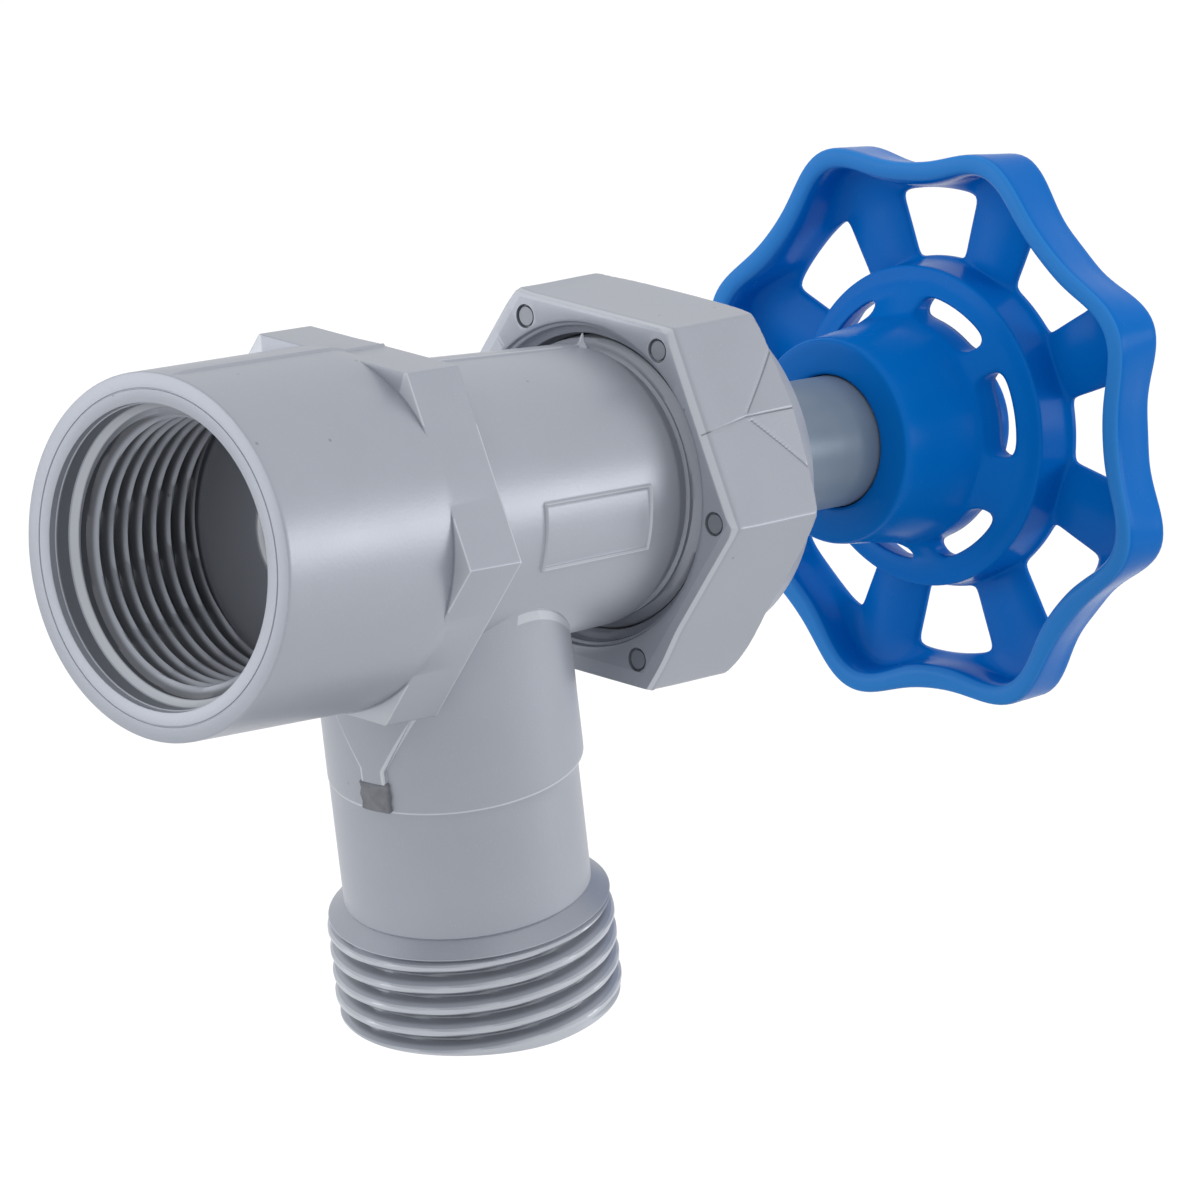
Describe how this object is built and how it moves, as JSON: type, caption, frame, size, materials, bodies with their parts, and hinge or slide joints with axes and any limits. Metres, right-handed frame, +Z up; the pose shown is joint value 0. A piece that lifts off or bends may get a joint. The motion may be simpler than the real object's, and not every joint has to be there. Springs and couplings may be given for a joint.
{
  "type": "boiler drain valve",
  "caption": "Plastic boiler drain valve with a female pipe inlet, hexagonal collar, bonnet nut, leaning male hose outlet and a lobed handwheel that screws the stem in and out.",
  "frame": {"origin": "centre of the inlet's mouth, on the valve's axis", "axes": "+X along the valve's axis from the inlet to the handwheel, +Z up, so the outlet leaves downwards and leans towards +X"},
  "size_m": [0.1085, 0.056, 0.0793],
  "materials": {
    "body_plastic": "satin silver-grey with a fine metallic flake",
    "stem_plastic": "satin bluish grey",
    "wheel_plastic": "glossy blue",
    "black_rubber": "matt",
    "packing_fibre": "matt",
    "brass": "machined",
    "steel": "plain"
  },
  "bodies": {
    "valve": {"valve_body": "body_plastic", "bonnet_gasket": "black_rubber", "bonnet": "stem_plastic", "stem_packing": "packing_fibre", "packing_follower": "brass", "bonnet_nut": "body_plastic"},
    "jumper": {"disc_holder": "brass", "seat_washer": "black_rubber", "seat_washer_screw": "brass"},
    "spindle": {"stem": "stem_plastic", "handwheel": "wheel_plastic", "handwheel_washer": "steel", "handwheel_screw": "steel"}
  },
  "joints": [
    {"name": "disc_lift", "type": "slide", "parent": "valve", "child": "jumper", "axis": [1, 0, 0], "range_m": [0, 0.00625]},
    {"name": "wheel_turn", "type": "hinge", "parent": "jumper", "child": "spindle", "pos_m": [0.05, 0, 0], "axis": [1, 0, 0], "range_deg": [0, 900]}
  ],
  "couplings": [
    {"joint": "disc_lift", "follows": "wheel_turn", "m_per_rad": 0.00039789}
  ]
}
